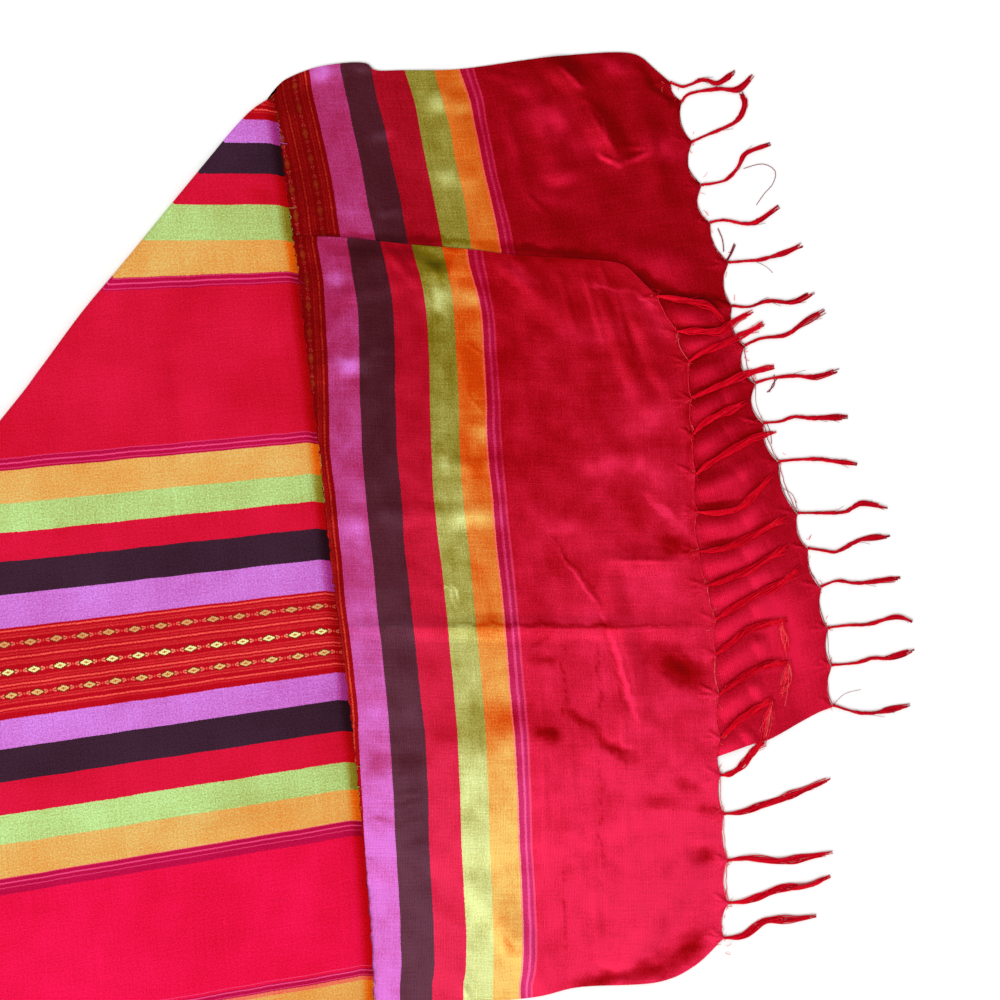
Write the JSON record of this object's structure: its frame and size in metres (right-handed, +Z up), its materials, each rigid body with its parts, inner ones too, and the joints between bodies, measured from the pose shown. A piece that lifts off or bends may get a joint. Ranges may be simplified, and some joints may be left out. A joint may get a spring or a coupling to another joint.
{
  "type": "wrap scarf",
  "caption": "Striped silk wrap scarf laid flat, doubled and turned under on a slant, with a knotted fringe at both ends.",
  "frame": {"origin": "middle of the scarf's outline, on the surface that it lies on", "axes": "+X towards the fringed ends, +Y towards the upper edge of the laid-out scarf, +Z up, away from the surface"},
  "size_m": [1.1062, 0.9382, 0.0072],
  "materials": {
    "striped_silk": "shot silk with a satin sheen, striped across in crimson, orchid, aubergine, lime and gold-orange, with bands of small woven lozenges",
    "plain_silk": "the same crimson shot silk where its hidden layers show at the edges",
    "fringe_yarn": "crimson silk warp ends, twisted and knotted, frayed at the tips"
  },
  "bodies": {
    "root": {"body_stretch": "striped_silk", "hidden_layers": "plain_silk", "end_back": "striped_silk", "end_front": "striped_silk", "fringe_back": "fringe_yarn", "fringe_front": "fringe_yarn"}
  },
  "joints": []
}
